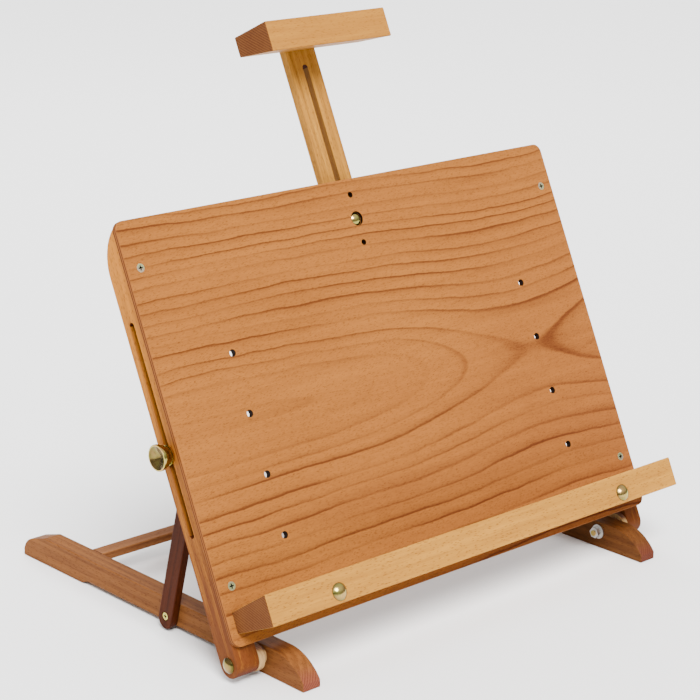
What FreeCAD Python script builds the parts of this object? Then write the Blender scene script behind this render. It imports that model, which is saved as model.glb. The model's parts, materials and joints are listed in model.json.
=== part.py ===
import FreeCAD, Part

import math
import os
import re

import Sketcher

# Table easel for a studio desk. Millimetres, +Z up, X along the drawing panel,
# +Y towards the back. The origin lies on the table, midway along the runners and
# in the middle of the whole width with the clamp knob, so the panel's middle is a
# little to its right.
#
# Three frames are used. BASE is the world. BOARD starts at the front pivot:
# x across, y up the panel, z out of the panel's face. STRUT starts at the
# strut's foot screw: y runs up the strut and z is square to it.

SIZES = {
    # panel and rails
    "lean": (25.0, "lean of the panel back from upright, degrees"),
    "panel_width": (555.0, "panel, across"),
    "panel_height": (394.0, "panel, up the slope"),
    "panel_thick": (6.0, "panel plywood"),
    "panel_corner": (9.0, "radius of the panel's corners"),
    "panel_bottom": (13.5, "pivot to the panel's lower edge"),
    "panel_overhang": (1.3, "panel edge beyond the left rail's outer face"),
    "panel_edge": (0.9, "rounding of the panel's edges"),
    "rail_thick": (25.2, "left rail, across"),
    "rail_thin": (21.0, "right rail, across"),
    "knob_side": (6.0, "middle of the panel to the right of the origin"),
    "rail_depth": (25.0, "rail, square to the panel"),
    "rail_drop": (4.5, "rail's top below the panel's upper edge"),
    "rail_round": (45.0, "radius of the rail's rounded top corner"),
    "slot_low": (117.0, "pivot to the lower end of the rail's slot"),
    "slot_high": (318.0, "pivot to the upper end of the rail's slot"),
    "screw_inset": (15.0, "panel screws inside the panel's side edge"),
    "screw_low": (54.0, "lower panel screws above the panel's lower edge"),
    "screw_high": (45.0, "upper panel screws below the panel's upper edge"),
    # base
    "layer_gap": (11.9, "gap between rail and runner, where the strut lies"),
    "runner_thick": (20.3, "runner, across"),
    "runner_height": (28.0, "runner, upright"),
    "runner_length": (434.3, "runner, front to back"),
    "pivot_setback": (58.5, "pivot behind the runner's front end"),
    "pivot_height": (17.5, "pivot above the table"),
    "foot_raise": (4.0, "relief between the feet of a runner"),
    "foot_front": (108.5, "length of the front foot"),
    "foot_rear": (100.3, "length of the rear foot"),
    "foot_slope": (9.0, "length of the slope at the end of a foot"),
    "nose_length": (36.5, "length of the rounded front end of a runner"),
    "nose_height": (7.3, "height of the blunt nose"),
    "nose_round": (49.0, "radius of the front end"),
    "tail_length": (37.3, "length of the sloped and rounded rear end of a runner"),
    "tail_drop": (7.4, "drop of the slope before the rear end's round"),
    "tail_bend": (13.2, "length of the rear end's round"),
    "tail_round": (19.4, "radius of the rear end's round"),
    "tail_height": (6.5, "height of the blunt rear end"),
    "crossbar_depth": (17.0, "rear crossbar, front to back"),
    "crossbar_thick": (8.3, "rear crossbar, upright"),
    "crossbar_inset": (91.8, "crossbar's rear edge from the runner's rear end"),
    "dowel_radius": (2.5, "dowels in the crossbar's ends"),
    "dowel_depth": (12.0, "dowel in each piece"),
    # strut
    "strut_back": (129.0, "strut's foot screw behind the pivot"),
    "strut_height": (14.5, "strut's foot screw above the table"),
    "strut_width": (19.0, "strut, wide"),
    "strut_thick": (8.5, "strut, thick"),
    "strut_overhang": (3.5, "foot screw to the centre of the strut's round foot"),
    "clamp_height": (195.0, "pivot to the clamp knob, up the rail, at rest"),
    # ledge and head
    "ledge_inset": (5.0, "ledge's end inside the panel's side edge, before the shift"),
    "ledge_depth": (54.0, "ledge, out from the panel"),
    "ledge_low": (25.3, "pivot to the ledge's lower edge"),
    "ledge_rise": (10.5, "ledge's lower edge to its bolts"),
    "stock_front": (29.4, "front height of the ledge and of the head"),
    "stock_back": (20.0, "back height of the ledge and of the head"),
    "row_first": (96.4, "pivot to the lowest spare row of ledge holes"),
    "row_pitch": (57.5, "distance between the rows of ledge holes"),
    "row_inset": (85.9, "ledge holes inside the panel's side edge, before the shift"),
    "row_shift": (2.0, "ledge, mast and their holes to the right of the middle"),
    "head_length": (153.0, "head, across"),
    "head_depth": (50.0, "head, out from the mast"),
    # mast
    "mast_width": (38.0, "mast, across"),
    "mast_thick": (9.7, "mast, square to the panel"),
    "mast_length": (400.0, "mast, long"),
    "mast_raise": (126.0, "panel's upper edge to the head's lower front edge"),
    "mast_drop": (1.5, "top of the mast below the top of the head"),
    "mast_slot_top": (33.4, "solid wood above the mast's slot"),
    "mast_slot_foot": (28.0, "solid wood below the mast's slot"),
    "bolt_drop": (39.9, "mast bolt below the panel's upper edge"),
    "pin_pitch": (24.0, "guide pins above and below the mast bolt"),
    "pin_radius": (2.9, "guide pins"),
    "pad_thick": (5.0, "backing plate between panel and mast"),
    "pad_width": (72.0, "backing plate, across"),
    "pad_height": (76.0, "backing plate, up the slope"),
    # hardware
    "bolt_radius": (3.0, "M6 bolts and studs"),
    "mushroom_radius": (8.25, "mushroom heads"),
    "mushroom_height": (4.6, "mushroom heads"),
    "pivot_head_radius": (7.4, "heads of the pivot bolts"),
    "pivot_head_height": (3.6, "heads of the pivot bolts"),
    "pivot_nut_height": (6.2, "lock nuts of the pivot bolts"),
    "spacer_radius": (13.0, "disc between rail and runner"),
    "spacer_thick": (6.6, "disc between rail and runner"),
    "spacer_hub": (8.5, "radius of the hub on the disc"),
    "spacer_edge": (0.5, "rounding of the disc"),
    "washer_radius": (7.5, "washers"),
    "washer_thick": (1.5, "washers"),
    "nut_flats": (10.0, "M6 nut across its flats"),
    "nut_corner": (0.5, "rounding of the nuts"),
    "thread_end": (1.0, "bolt beyond its nut"),
    "knob_radius": (12.4, "clamp knobs"),
    "knob_length": (11.6, "clamp knobs"),
    "knob_base": (8.5, "radius of a knob's inner end"),
    "knob_flare": (8.8, "inner end to where a knob is full width"),
    "knob_lip": (0.8, "rounded lip of a knob's rim"),
    "knob_dish": (10.9, "radius of the dished face"),
    "knob_bore": (5.0, "depth of the stud in a knob"),
    "knob_floor": (1.2, "knob left in front of the stud"),
    "knob_washer": (9.3, "radius of the washers under the knobs"),
    "wing_height": (11.5, "wing nuts, with their wings"),
    "wing_reach": (14.0, "wing nuts, middle to wing tip"),
    "wing_hub": (6.0, "radius of a wing nut's hub"),
    "wing_taper": (1.2, "taper of the hub"),
    "wing_wall": (2.4, "thickness of a wing"),
    "wing_root": (1.0, "wing's foot inside the hub"),
    "wing_tip": (3.5, "wing's width at its top"),
    "wing_ear": (5.5, "height of a wing's rounded end"),
    "wing_round": (3.2, "radius of a wing's end"),
    "wing_edge": (0.6, "rounding of the wings"),
    "screw_radius": (2.0, "wood screws"),
    "screw_head": (4.1, "head radius of the wood screws"),
    "screw_length": (22.0, "wood screws"),
    "screw_point": (6.0, "length of a wood screw's point"),
    "head_screw_length": (44.0, "screws through the mast into the head"),
    "screw_sink": (2.2, "depth of a countersunk head"),
    "mushroom_rim": (0.6, "straight rim of the mushroom heads"),
    "mast_head_radius": (6.5, "head of the mast bolt"),
    "mast_head_height": (3.4, "head of the mast bolt"),
    "mast_sink": (7.2, "radius of the counterbore for the mast bolt's head"),
    "mast_sink_depth": (3.2, "depth of that counterbore"),
    "strut_sink": (2.5, "depth of the counterbores in the strut"),
    "strut_head": (6.0, "head radius of the strut's bolt"),
    "head_gap": (0.5, "round a head in its counterbore"),
    "head_play": (0.2, "between the ends of the strut's screws and its faces"),
    "stud_depth": (7.5, "bolt inside a wing nut"),
    "head_screws_half": (10.0, "head screws each side of the middle"),
    "head_screws_drop": (14.0, "head screws below the top of the mast"),
    # clearances
    "face_gap": (0.3, "between faces that slide on each other"),
    "bolt_play": (0.5, "round a bolt in a slot or in a clearance hole"),
    "run_gap": (0.08, "radial clearance of a turning bore"),
    "arris": (1.0, "rounding of the wooden edges"),
}

# Values worked out from the sizes, as expressions.
DERIVED = {
    "rail_outer": "panel_width / 2 - panel_overhang",
    "rail_inner": "rail_outer - rail_thick",
    "right_outer": "rail_inner + rail_thin",
    "runner_outer": "rail_inner - layer_gap",
    "runner_inner": "runner_outer - runner_thick",
    "panel_top": "panel_bottom + panel_height",
    "rail_length": "panel_top - rail_drop",
    "hole_radius": "bolt_radius + bolt_play",
    "slot_width": "2 * hole_radius",
    "screw_half": "panel_width / 2 - screw_inset",
    "row_half": "panel_width / 2 - row_inset",
    "ledge_length": "panel_width - 2 * ledge_inset",
    "panel_back": "rail_depth / 2",
    "panel_front": "panel_back + panel_thick",
    "pivot_back": "pivot_setback - runner_length / 2",
    "crossbar_rear": "runner_length / 2 - crossbar_inset",
    "crossbar_middle": "crossbar_rear - crossbar_depth / 2",
    "crossbar_level": "runner_height - crossbar_thick / 2",
    "strut_rise": "pivot_height + clamp_height * cos(lean) - strut_height",
    "strut_run": "clamp_height * sin(lean) - strut_back",
    "strut_length": "sqrt(strut_rise ^ 2 + strut_run ^ 2)",
    "strut_lean": "atan2(strut_run; strut_rise) / 1 deg",
    "ledge_level": "ledge_low + ledge_rise",
    "ledge_front": "panel_front + ledge_depth",
    "pad_back": "panel_back - pad_thick",
    "mast_front": "pad_back - face_gap",
    "mast_back": "mast_front - mast_thick",
    "head_bottom": "panel_top + mast_raise",
    "head_top": "head_bottom + stock_front",
    "mast_top": "head_top - mast_drop",
    "mast_foot": "mast_top - mast_length",
    "mast_bolt": "panel_top - bolt_drop",
    "bolt_bore": "bolt_radius + run_gap",
    "mast_slot_high": "mast_top - mast_slot_top",
    "mast_slot_low": "mast_foot + mast_slot_foot",
    "strut_inside": "runner_outer + face_gap",
    "strut_outside": "strut_inside + strut_thick",
    "strut_spacing": "rail_inner - face_gap - strut_outside",
    "mast_seat": "panel_front - mast_sink_depth",
    "head_screw_level": "mast_top - head_screws_drop",
    "panel_screw_low": "panel_bottom + screw_low",
    "panel_screw_high": "panel_top - screw_high",
    "clamp_stack": "2 * face_gap + washer_thick",
}

AXES = {"X": (1, 0, 0), "Y": (0, 1, 0), "Z": (0, 0, 1)}

SHARP = 15  # degrees between two faces, from which their edge is rounded

doc = FreeCAD.newDocument("table_easel")
sizes = doc.addObject("Spreadsheet::Sheet", "sizes")
parts = {}


def fill_sheet():
    """Write each size as a plain number with its alias and its meaning."""
    for row, (alias, (value, meaning)) in enumerate(SIZES.items(), start=1):
        sizes.set(f"A{row}", meaning)
        sizes.set(f"B{row}", str(value))
        sizes.setAlias(f"B{row}", alias)
    doc.recompute()


def ex(text):
    """Spell out a formula's names as cells of the sheet."""
    def spell(match):
        word = match.group(0)
        if word in DERIVED:
            return "(" + ex(DERIVED[word]) + ")"
        return "sizes." + word if word in SIZES else word
    return re.sub(r"[a-z]\w*", spell, str(text))


def value(text):
    """The number that a formula gives."""
    return float(sizes.evalExpression(ex(text)))


def bind(thing, field, text):
    thing.setExpression(field, ex(text))


# ---------------------------------------------------------------- frames

def place(thing, x="0", y="0", z="0", frame="BASE"):
    """Bind an object's placement: a point of one of the three frames, turned with it."""
    if frame == "BASE":
        origin, tilt = ("0", "0"), "0"
    elif frame == "BOARD":
        origin, tilt = ("pivot_back", "pivot_height"), "90 - lean"
    else:
        origin, tilt = ("pivot_back + strut_back", "strut_height"), "90 - strut_lean"
    thing.Placement = FreeCAD.Placement(
        FreeCAD.Vector(0, 0, 0), FreeCAD.Rotation(FreeCAD.Vector(1, 0, 0), 30))
    bind(thing, "Placement.Rotation.Angle", tilt)
    bind(thing, "Placement.Base.x", f"knob_side + {x}")
    bind(thing, "Placement.Base.y", f"{origin[0]} + ({y}) * cos({tilt}) - ({z}) * sin({tilt})")
    bind(thing, "Placement.Base.z", f"{origin[1]} + ({y}) * sin({tilt}) + ({z}) * cos({tilt})")


# ---------------------------------------------------------------- sketches

def line_to(x, y):
    """A corner of an outline, reached by a straight line."""
    return {"at": (x, y)}


def arc_to(x, y, radius, side):
    """A corner reached by an arc; side 1 bulges to the left of the way there."""
    return {"at": (x, y), "radius": radius, "side": side}


def round_to(x, y, side):
    """A corner reached by a half circle."""
    return {"at": (x, y), "half": True, "side": side}


def new_sketch(body, plane):
    sketch = body.newObject("Sketcher::SketchObject", body.Name + "_sketch")
    planes = [o for o in body.Origin.OriginFeatures if o.Role == plane + "_Plane"]
    sketch.AttachmentSupport = (planes[0], [""])
    sketch.MapMode = "FlatFace"
    return sketch


def fix_point(sketch, geometry, end, at):
    """Hold one point of a sketch at the two distances given as formulas."""
    for kind, text in (("DistanceX", at[0]), ("DistanceY", at[1])):
        index = sketch.addConstraint(
            Sketcher.Constraint(kind, -1, 1, geometry, end, value(text)))
        bind(sketch, f"Constraints[{index}]", text)


def arc_edge(start, stop, step):
    """The arc between start and stop that a corner's radius and side describe.

    It always runs anticlockwise, so one that bulges to the left is drawn backwards.
    """
    chord = stop - start
    half = chord.Length / 2
    left = FreeCAD.Vector(-chord.y, chord.x, 0).normalize() * step["side"]
    radius = half if "half" in step else value(step["radius"])
    bulge = radius - math.sqrt(max(radius ** 2 - half ** 2, 0))
    middle = (start + stop) / 2 + left * bulge
    return Part.Arc(start, middle, stop) if step["side"] < 0 else Part.Arc(stop, middle, start)


def outline(sketch, corners):
    """Draw a closed outline through its corners and bind each of them."""
    points = [FreeCAD.Vector(value(c["at"][0]), value(c["at"][1]), 0) for c in corners]
    starts = []
    for number, step in enumerate(corners):
        start, stop = points[number - 1], points[number]
        if "side" not in step:
            index = sketch.addGeometry(Part.LineSegment(start, stop))
            starts.append((index, 1, 2))
            continue
        arc = arc_edge(start, stop, step)
        index = sketch.addGeometry(arc)
        drawn = sketch.Geometry[index]
        forward = (drawn.StartPoint - start).Length < (drawn.StartPoint - stop).Length
        starts.append((index, 1, 2) if forward else (index, 2, 1))
    for number, (index, first, last) in enumerate(starts):
        follower = starts[(number + 1) % len(starts)]
        sketch.addConstraint(Sketcher.Constraint("Coincident", index, last, follower[0], follower[1]))
        fix_point(sketch, index, last, corners[number]["at"])
    for number, step in enumerate(corners):
        index = starts[number][0]
        if "radius" in step:
            held = sketch.addConstraint(Sketcher.Constraint("Radius", index, value(step["radius"])))
            bind(sketch, f"Constraints[{held}]", step["radius"])
        elif "half" in step:
            chord = points[number] - points[number - 1]
            across = abs(chord.x) > abs(chord.y)
            kind, text = ("DistanceY", step["at"][1]) if across else ("DistanceX", step["at"][0])
            held = sketch.addConstraint(Sketcher.Constraint(kind, -1, 1, index, 3, value(text)))
            bind(sketch, f"Constraints[{held}]", text)


def circles(sketch, rounds):
    """Draw circles given as (x, y, radius) formulas."""
    for x, y, radius in rounds:
        circle = Part.Circle(FreeCAD.Vector(value(x), value(y), 0), FreeCAD.Vector(0, 0, 1), value(radius))
        index = sketch.addGeometry(circle)
        fix_point(sketch, index, 3, (x, y))
        held = sketch.addConstraint(Sketcher.Constraint("Radius", index, value(radius)))
        bind(sketch, f"Constraints[{held}]", radius)


def box_outline(x0, y0, x1, y1):
    return [line_to(x0, y0), line_to(x1, y0), line_to(x1, y1), line_to(x0, y1)]


def slot_outline(middle, low, high, half):
    """An upright slot with round ends; low and high are its outer ends."""
    left, right = f"{middle} - {half}", f"{middle} + {half}"
    return [line_to(right, f"{high} - {half}"), round_to(left, f"{high} - {half}", -1),
            line_to(left, f"{low} + {half}"), round_to(right, f"{low} + {half}", -1)]


# ---------------------------------------------------------------- features

def new_body(name):
    body = doc.addObject("PartDesign::Body", name)
    body.Label = name
    return body


def pad(body, plane, start, length, corners=None, rounds=()):
    """Extrude a sketch from start, square to its plane, by a length."""
    sketch = new_sketch(body, plane)
    sketch.AttachmentOffset = FreeCAD.Placement()
    bind(sketch, "AttachmentOffset.Base.z", start)
    if corners:
        outline(sketch, corners)
    circles(sketch, rounds)
    feature = body.newObject("PartDesign::Pad", body.Name + "_pad")
    feature.Profile = sketch
    bind(feature, "Length", length)
    doc.recompute()
    return feature


def cut(body, plane, start, depth, corners=None, rounds=(), flare=None):
    """Cut a sketch's shape out of a body, from start along the plane's normal by depth.

    With a flare the cut widens on its way, by that angle.
    """
    before = body.Shape.Volume
    sketch = new_sketch(body, plane)
    sketch.AttachmentOffset = FreeCAD.Placement()
    bind(sketch, "AttachmentOffset.Base.z", start)
    if corners:
        outline(sketch, corners)
    circles(sketch, rounds)
    feature = body.newObject("PartDesign::Pocket", body.Name + "_cut")
    feature.Profile = sketch
    feature.Reversed = True
    bind(feature, "Length", depth)
    if flare:
        bind(feature, "TaperAngle", flare)
    doc.recompute()
    if not body.Shape.Volume < before:
        raise RuntimeError(f"{feature.Name} removes nothing")
    return feature


def turn(body, axis, sign, stations):
    """Revolve a half profile about the body's X or Z axis.

    A station is (distance along the axis, radius), and may go on with the radius
    and the side of the arc that reaches it. Sign -1 runs down the axis.
    """
    corners = []
    for along, radius, *arc in stations:
        along = f"-({along})" if sign < 0 else along
        at = (along, radius) if axis == "X" else (radius, along)
        flip = sign if axis == "X" else -sign
        corners.append(arc_to(*at, arc[0], arc[1] * flip) if arc else line_to(*at))
    sketch = new_sketch(body, "XZ")
    outline(sketch, corners)
    feature = body.newObject("PartDesign::Revolution", body.Name + "_turned")
    feature.Profile = sketch
    feature.ReferenceAxis = (sketch, ["H_Axis" if axis == "X" else "V_Axis"])
    feature.Angle = 360
    doc.recompute()
    return feature


def normal_beside(face, point):
    u, v = face.Surface.parameter(point)
    return face.normalAt(u, v)


def sharp_edges(shape, keep):
    """Names of the edges where two faces meet at an angle and that pass a test."""
    names = []
    for number, edge in enumerate(shape.Edges, start=1):
        middle = edge.valueAt((edge.FirstParameter + edge.LastParameter) / 2)
        faces = shape.ancestorsOfType(edge, Part.Face)
        if len(faces) != 2 or not keep(edge, middle):
            continue
        angle = normal_beside(faces[0], middle).getAngle(normal_beside(faces[1], middle))
        if math.degrees(angle) > SHARP:
            names.append(f"Edge{number}")
    return names


def soften(body, radius="arris", keep=lambda edge, middle: True):
    """Round the sharp edges of the body as it stands."""
    base = body.Tip
    feature = body.newObject("PartDesign::Fillet", body.Name + "_arris")
    feature.Base = (base, sharp_edges(base.Shape, keep))
    bind(feature, "Radius", radius)
    doc.recompute()
    return feature


def finish(body, x="0", y="0", z="0", frame="BASE"):
    place(body, x, y, z, frame)
    parts[body.Label] = body
    return body


def group(name, members):
    """Several separate solids that share one node."""
    whole = doc.addObject("Part::Compound", name)
    whole.Label = name
    whole.Links = members
    parts[name] = whole


# ---------------------------------------------------------------- base

def make_runner(name, side):
    """A runner: feet with a relief between them and rounded, blunt-nosed ends."""
    front, rear = "-runner_length / 2", "runner_length / 2"
    body = new_body(name)
    start = "-runner_outer" if side < 0 else "runner_inner"
    pad(body, "YZ", start, "runner_thick", [
        line_to(front, "0"),
        line_to(f"{front} + foot_front", "0"),
        line_to(f"{front} + foot_front + foot_slope", "foot_raise"),
        line_to(f"{rear} - foot_rear - foot_slope", "foot_raise"),
        line_to(f"{rear} - foot_rear", "0"),
        line_to(rear, "0"),
        line_to(rear, "tail_height"),
        arc_to(f"{rear} - tail_bend", "runner_height - tail_drop", "tail_round", -1),
        line_to(f"{rear} - tail_length", "runner_height"),
        line_to(f"{front} + nose_length", "runner_height"),
        arc_to(front, "nose_height", "nose_round", -1),
    ])
    soften(body)
    cut(body, "YZ", start, "runner_thick", rounds=[("pivot_back", "pivot_height", "bolt_radius")])
    if side < 0:
        cut(body, "YZ", start, "screw_length - strut_thick + strut_sink",
            rounds=[("pivot_back + strut_back", "strut_height", "screw_radius")])
    inner = "-runner_inner - dowel_depth" if side < 0 else "runner_inner"
    cut(body, "YZ", inner, "dowel_depth", rounds=[("crossbar_middle", "crossbar_level", "dowel_radius")])
    return finish(body)


def make_crossbar():
    body = new_body("rear_crossbar")
    pad(body, "YZ", "-runner_inner", "2 * runner_inner", box_outline(
        "crossbar_rear - crossbar_depth", "runner_height - crossbar_thick",
        "crossbar_rear", "runner_height"))
    soften(body, keep=lambda edge, middle: abs(middle.x) < value("runner_inner") / 2)
    for start in ("-runner_inner", "runner_inner - dowel_depth"):
        cut(body, "YZ", start, "dowel_depth",
            rounds=[("crossbar_middle", "crossbar_level", "dowel_radius")])
    finish(body)
    dowels = []
    for side in ("left", "right"):
        sign = "-" if side == "left" else ""
        dowel = new_body("crossbar_dowel_" + side)
        pad(dowel, "YZ", f"{sign}runner_inner - dowel_depth", "2 * dowel_depth",
            rounds=[("crossbar_middle", "crossbar_level", "dowel_radius")])
        place(dowel)
        dowels.append(dowel)
    group("crossbar_dowels", dowels)


def ring(name, axis, sign, start, inner, outer, length, at, frame="BASE"):
    """A washer or disc: start and length run along the axis from the placed point."""
    body = new_body(name)
    turn(body, axis, sign, [
        (start, inner), (start, outer),
        (f"{start} + {length}", outer), (f"{start} + {length}", inner)])
    place(body, *at, frame)
    return body


def mushroom_bolt(name, axis, sign, reach, head, tall, at, frame):
    """A bolt whose domed head stands proud of the placed point by its height.

    The shank runs the other way, by reach.
    """
    rim = "mushroom_rim"
    dome = f"(({tall} - {rim}) ^ 2 + {head} ^ 2) / (2 * ({tall} - {rim}))"
    body = new_body(name)
    turn(body, axis, sign, [
        (f"-({reach})", "0"),
        (f"-({reach})", "bolt_radius"),
        ("0", "bolt_radius"),
        ("0", head),
        (rim, head),
        (tall, "0", dome, 1)])
    return finish(body, *at, frame)


def wood_screw(name, axis, sign, length, at, frame):
    """A screw with a countersunk head, flush with the placed point, and a point."""
    body = new_body(name)
    turn(body, axis, sign, [
        ("0", "0"),
        ("0", "screw_head"),
        ("-screw_sink", "screw_radius"),
        (f"-({length}) + screw_point", "screw_radius"),
        (f"-({length})", "0")])
    place(body, *at, frame)
    return body


def sink(body, face, x, y):
    """A countersink for a wood screw, opening out along +z to the face."""
    cut(body, "XY", f"{face} - screw_sink", "screw_sink", rounds=[(x, y, "screw_radius")],
        flare="atan((screw_head - screw_radius) / screw_sink)")


def make_pivot(side, sign):
    """Bolt, spacer, washer and nut that join one rail to one runner."""
    outer, thick = ("rail_outer", "rail_thick") if sign < 0 else ("right_outer", "rail_thin")
    at = (f"{sign} * {outer}", "0", "0")
    reach = f"face_gap + {outer} - runner_inner + washer_thick + pivot_nut_height + thread_end"
    mushroom_bolt("pivot_bolt_" + side, "X", sign, reach, "pivot_head_radius", "pivot_head_height",
                  (f"{sign} * ({outer} + face_gap)", "0", "0"), "BOARD")
    spacer = new_body("pivot_spacer_" + side)
    turn(spacer, "X", -sign, [
        (f"{thick} + face_gap", "bolt_radius"), (f"{thick} + face_gap", "spacer_radius"),
        (f"{thick} + spacer_thick", "spacer_radius"), (f"{thick} + spacer_thick", "spacer_hub"),
        (f"{thick} + layer_gap", "spacer_hub"), (f"{thick} + layer_gap", "bolt_radius")])
    wide = value("pi * (spacer_hub + spacer_radius)")
    soften(spacer, "spacer_edge", lambda edge, middle: edge.Length > wide)
    finish(spacer, *at, "BOARD")
    washer = ring("pivot_washer_" + side, "X", -sign, f"{outer} - runner_inner", "bolt_radius",
                  "washer_radius", "washer_thick", at, "BOARD")
    nut = new_body("pivot_nut_" + side)
    start = f"{outer} - runner_inner + washer_thick"
    start = start if sign < 0 else f"-({start}) - pivot_nut_height"
    corners = [line_to(f"nut_flats / 2 / cos(30) * cos({60 * k})",
                       f"nut_flats / 2 / cos(30) * sin({60 * k})") for k in range(6)]
    pad(nut, "YZ", start, "pivot_nut_height", corners)
    soften(nut, "nut_corner")
    cut(nut, "YZ", start, "pivot_nut_height", rounds=[("0", "0", "bolt_radius")])
    place(nut, *at, "BOARD")
    return washer, nut


# ---------------------------------------------------------------- strut

def make_strut():
    """The side strut with its foot screw, and the bolt and washer at its upper end."""
    half = "strut_width / 2"
    start = "-strut_outside"
    body = new_body("strut")
    pad(body, "YZ", start, "strut_thick", [
        line_to("strut_length", f"-{half}"),
        round_to("strut_length", half, -1),
        line_to("-strut_overhang", half),
        round_to("-strut_overhang", f"-{half}", -1),
    ])
    soften(body)
    cut(body, "YZ", start, "strut_sink", rounds=[("0", "0", "screw_head + head_gap")])
    cut(body, "YZ", start, "strut_thick", rounds=[("0", "0", "screw_radius + run_gap")])
    cut(body, "YZ", start, "strut_thick", rounds=[("strut_length", "0", "bolt_radius")])
    cut(body, "YZ", "-strut_inside - strut_sink", "strut_sink",
        rounds=[("strut_length", "0", "strut_head")])
    finish(body, frame="STRUT")

    screw = new_body("strut_screw")
    top = "strut_sink - face_gap"
    turn(screw, "X", 1, [
        ("head_play", "0"), ("head_play", "screw_head"), (top, "screw_head"), (top, "screw_radius"),
        ("screw_length - screw_point", "screw_radius"), ("screw_length", "0")])
    finish(screw, "-strut_outside", "0", "0", "STRUT")

    bolt = new_body("strut_bolt")
    seat, end = "strut_thick - strut_sink", "strut_thick - head_play"
    turn(bolt, "X", 1, [
        ("-strut_spacing", "0"), ("-strut_spacing", "bolt_radius"), (seat, "bolt_radius"),
        (seat, "strut_head"), (end, "strut_head"), (end, "0")])
    finish(bolt, "-strut_outside", "strut_length", "0", "STRUT")
    washer = ring("strut_washer", "X", -1, "0", "bolt_radius", "washer_radius", "strut_spacing",
                  ("-strut_outside", "strut_length", "0"), "STRUT")
    parts[washer.Label] = washer


def make_knob(name, axis, sign, at, frame):
    """A turned brass knob: a cup that flares to a lipped rim, with a dished face."""
    body = new_body(name)
    turn(body, axis, sign, [
        ("0", "bolt_bore"),
        ("0", "knob_base"),
        ("knob_flare", "knob_radius"),
        ("knob_length - knob_lip", "knob_radius"),
        ("knob_length", "knob_radius - knob_lip"),
        ("knob_length", "knob_dish"),
        ("knob_bore + knob_floor", "knob_floor"),
        ("knob_bore + knob_floor", "0"),
        ("knob_bore + face_gap", "0"),
        ("knob_bore + face_gap", "bolt_bore")])
    return finish(body, *at, frame)


def make_clamp():
    """Stud and washer that slide along the left rail's slot, with their knob."""
    at = ("-rail_outer", "clamp_height", "0")
    stud = new_body("clamp_stud")
    turn(stud, "X", -1, [
        ("-rail_thick", "0"), ("-rail_thick", "bolt_radius"),
        ("clamp_stack + knob_bore", "bolt_radius"), ("clamp_stack + knob_bore", "0")])
    finish(stud, *at, "BOARD")
    washer = ring("clamp_washer", "X", -1, "face_gap", "bolt_radius", "knob_washer", "washer_thick",
                  at, "BOARD")
    parts[washer.Label] = washer
    make_knob("clamp_knob", "X", -1, ("-rail_outer - clamp_stack", "clamp_height", "0"), "BOARD")


# ---------------------------------------------------------------- board

def make_rail(name, side):
    """A side rail, round at the pivot and rounded at the back of its top."""
    half = "rail_depth / 2"
    start, thick = ("-rail_outer", "rail_thick") if side < 0 else ("rail_inner", "rail_thin")
    body = new_body(name)
    pad(body, "YZ", start, thick, [
        line_to("0", half),
        round_to("0", f"-{half}", -1),
        line_to("rail_length - sqrt(rail_round ^ 2 - (rail_round - rail_depth) ^ 2)", f"-{half}"),
        arc_to("rail_length", half, "rail_round", -1),
    ])
    soften(body)
    cut(body, "YZ", start, thick, rounds=[("0", "0", "bolt_bore")])
    if side < 0:
        near, far, reach = "slot_low + slot_width / 2", "slot_high - slot_width / 2", "slot_width / 2"
        cut(body, "YZ", start, thick, [
            line_to(near, reach), round_to(near, f"-{reach}", -1),
            line_to(far, f"-{reach}"), round_to(far, reach, -1)])
    depth = "screw_length - panel_thick"
    x = f"{side} * screw_half"
    cut(body, "XY", f"panel_back - ({depth})", depth,
        rounds=[(x, "panel_screw_low", "screw_radius"), (x, "panel_screw_high", "screw_radius")])
    return finish(body, frame="BOARD")


def make_panel():
    """The drawing panel with its rows of ledge holes, mast bolt recess and screws."""
    x, low, high = "panel_width / 2", "panel_bottom", "panel_top"
    corner = "panel_corner"
    body = new_body("panel")
    quarter = [
        line_to(f"{x} - {corner}", low), arc_to(x, f"{low} + {corner}", corner, -1),
        line_to(x, f"{high} - {corner}"), arc_to(f"{x} - {corner}", high, corner, -1),
        line_to(f"-{x} + {corner}", high), arc_to(f"-{x}", f"{high} - {corner}", corner, -1),
        line_to(f"-{x}", f"{low} + {corner}"), arc_to(f"-{x} + {corner}", low, corner, -1),
    ]
    pad(body, "XY", "panel_back", "panel_thick", quarter)
    soften(body, "panel_edge")
    levels = ["ledge_level"] + [f"row_first + {row} * row_pitch" for row in range(4)]
    holes = [(f"row_shift + {sign} * row_half", level, "hole_radius")
             for level in levels for sign in (-1, 1)]
    holes += [("row_shift", f"mast_bolt + {sign} * pin_pitch", "pin_radius") for sign in (-1, 1)]
    holes += [("row_shift", "mast_bolt", "bolt_radius")]
    places = [(f"{sign} * screw_half", level) for sign in (-1, 1)
              for level in ("panel_screw_low", "panel_screw_high")]
    holes += [(px, level, "screw_radius") for px, level in places]
    cut(body, "XY", "panel_back", "panel_thick", rounds=holes)
    cut(body, "XY", "mast_seat", "mast_sink_depth", rounds=[("row_shift", "mast_bolt", "mast_sink")])
    for px, level in places:
        sink(body, "panel_front", px, level)
    finish(body, frame="BOARD")
    group("panel_screws", [
        wood_screw(f"panel_screw_{number}", "Z", 1, "screw_length", (px, level, "panel_front"), "BOARD")
        for number, (px, level) in enumerate(places)])


def stock_piece(name, length, corners):
    """Ledge or head: the same four-sided section, cut to a length along X."""
    body = new_body(name)
    pad(body, "YZ", f"-{length} / 2", length, corners)
    soften(body)
    return body


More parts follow.
